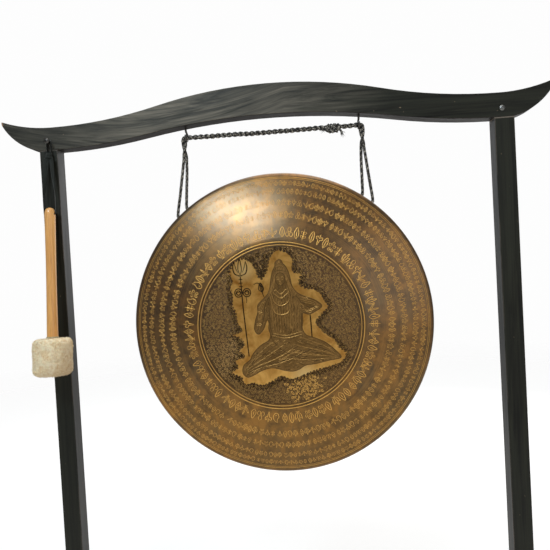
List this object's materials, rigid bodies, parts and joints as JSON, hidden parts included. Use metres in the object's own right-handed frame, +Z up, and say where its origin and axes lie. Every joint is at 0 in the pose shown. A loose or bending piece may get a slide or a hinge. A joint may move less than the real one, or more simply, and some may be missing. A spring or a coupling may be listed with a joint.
{
  "type": "tam tam gong on a stand",
  "caption": "Domed bronze gong with engraved bands, hung by a braided cord from the upswept crossbeam of a black wooden stand, with a fleece-headed mallet on its post.",
  "frame": {"origin": "on the floor, in the middle of the stand's length and depth; the gong hangs 5.7 mm to the right of it", "axes": "+Z up, +X along the crossbeam to the right as seen from the front, -Y the way the gong's face looks"},
  "size_m": [1.2816, 0.52, 1.501],
  "materials": {
    "black_stained_wood": "black stain rubbed to a dull satin, grain showing",
    "rubber_pad": "matte",
    "plain_wood": "bare beech",
    "steel": "zinc plated",
    "dark_steel": "blackened",
    "braided_cord": "black and grey braid",
    "bronze": "hand-engraved bronze with a dark brown and olive patina, polished gold in the middle",
    "varnished_wood": "clear satin varnish",
    "felt": "pressed wool felt",
    "fleece": "cream wool fleece",
    "waxed_thread": "waxed linen",
    "black_ribbon": "black woven ribbon"
  },
  "bodies": {
    "stand": {"crossbeam": "black_stained_wood", "left_post": "black_stained_wood", "right_post": "black_stained_wood", "left_foot": "black_stained_wood", "right_foot": "black_stained_wood", "lower_rail": "black_stained_wood", "foot_pads": "rubber_pad", "rail_dowels": "plain_wood", "mallet_peg_bolt": "steel", "right_beam_bolt": "steel", "beam_washers": "steel", "beam_nuts": "steel", "foot_bolts": "steel", "foot_washers": "steel", "foot_nuts": "steel", "rail_bolts": "steel", "rail_washers": "steel", "rail_barrel_nuts": "steel", "left_hook": "dark_steel", "right_hook": "dark_steel", "cord_top_run": "braided_cord", "cord_knot": "braided_cord"},
    "sling": {"left_cord_drop": "braided_cord", "right_cord_drop": "braided_cord"},
    "gong": {"gong": "bronze", "left_cord_bight": "braided_cord", "right_cord_bight": "braided_cord"},
    "strap_loop": {"strap_loop": "black_ribbon", "strap_knot": "black_ribbon"},
    "strap": {"strap_strands": "black_ribbon"},
    "mallet": {"mallet_handle": "varnished_wood", "mallet_core": "plain_wood", "mallet_padding": "felt", "mallet_cover": "fleece", "mallet_binding": "waxed_thread"}
  },
  "joints": [
    {"name": "gong_swing", "type": "hinge", "parent": "stand", "child": "sling", "pos_m": [0.0057, 0.004, 1.3949], "axis": [1, 0, 0], "range_deg": [-25, 25]},
    {"name": "gong_tilt", "type": "hinge", "parent": "sling", "child": "gong", "pos_m": [0.0057, 0.004, 1.2202], "axis": [1, 0, 0], "range_deg": [-15, 15]},
    {"name": "mallet_lift_off", "type": "slide", "parent": "stand", "child": "strap_loop", "axis": [0, -0.7071, 0.7071], "range_m": [0, 0.25]},
    {"name": "mallet_swing", "type": "hinge", "parent": "strap_loop", "child": "strap", "pos_m": [-0.524, -0.0245, 1.368], "axis": [0, 1, 0], "range_deg": [-12, 25]},
    {"name": "mallet_tilt", "type": "hinge", "parent": "strap", "child": "mallet", "pos_m": [-0.524, -0.03805, 1.23033], "axis": [-1, 0, 0], "range_deg": [0, 45]}
  ]
}
